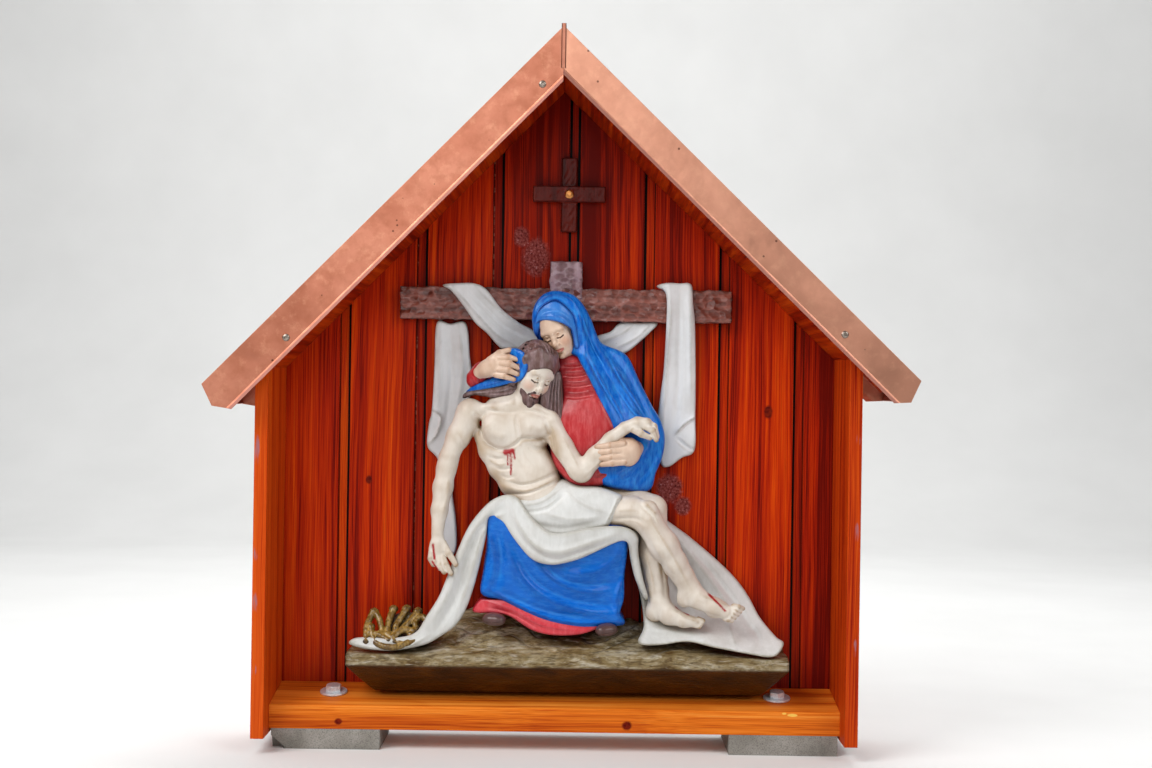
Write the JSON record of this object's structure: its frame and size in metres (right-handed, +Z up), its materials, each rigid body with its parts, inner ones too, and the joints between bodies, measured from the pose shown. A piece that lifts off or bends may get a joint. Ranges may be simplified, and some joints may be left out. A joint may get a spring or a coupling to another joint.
{
  "type": "wayside shrine",
  "caption": "Gabled wooden wayside shrine on concrete blocks, with a folded copper roof and a carved, painted mourning group before a draped cross.",
  "frame": {"origin": "centre of the footprint at the underside of the concrete blocks", "axes": "+Z up, the open front faces -Y, +X to the right as seen from the front"},
  "size_m": [0.9235, 0.201, 0.9505],
  "materials": {
    "concrete": "rough cast concrete",
    "zinc_steel": "zinc plated",
    "copper": "bare copper sheet, slightly dulled",
    "brass_screw": "brass coloured screw",
    "dark_wood": "dark brown stained wood with carved tool marks",
    "white_carving": "carved wood painted grey-white",
    "rock_carving": "carved wood painted grey-brown",
    "thorn_carving": "carved wood painted olive brown",
    "blue_carving": "carved wood painted blue",
    "red_carving": "carved wood painted red",
    "flesh_carving": "carved wood painted pale ivory",
    "brown_carving": "carved wood painted brown",
    "stained_wood": "softwood under glossy red-brown stain"
  },
  "bodies": {
    "root": {"block_left": "concrete", "block_right": "concrete", "sill_board": "stained_wood", "bolt_left": "zinc_steel", "bolt_right": "zinc_steel", "washer_left": "zinc_steel", "washer_right": "zinc_steel", "side_wall_left": "stained_wood", "side_wall_right": "stained_wood", "back_board_1": "stained_wood", "back_board_2": "stained_wood", "back_board_3": "stained_wood", "back_board_4": "stained_wood", "back_board_5": "stained_wood", "back_board_6": "stained_wood", "back_board_7": "stained_wood", "back_board_8": "stained_wood", "lining_left": "stained_wood", "lining_right": "stained_wood", "roof_board_left": "stained_wood", "roof_board_right": "stained_wood", "copper_sheet_left": "copper", "copper_sheet_right": "copper", "verge_front_left": "copper", "verge_front_right": "copper", "verge_rear_left": "copper", "verge_rear_right": "copper", "ridge_seam": "copper", "cross_post": "dark_wood", "cross_beam": "dark_wood", "small_cross": "dark_wood", "screws": "brass_screw", "shroud": "white_carving", "rock_plinth": "rock_carving", "thorn_crown": "thorn_carving", "seated_mantle": "blue_carving", "seated_head": "flesh_carving", "seated_dress": "red_carving", "seated_hands": "flesh_carving", "seated_skirt": "blue_carving", "seated_shoes": "brown_carving", "lying_body": "flesh_carving", "lying_head": "brown_carving", "lying_loincloth": "white_carving", "lap_cloth": "white_carving"}
  },
  "joints": []
}
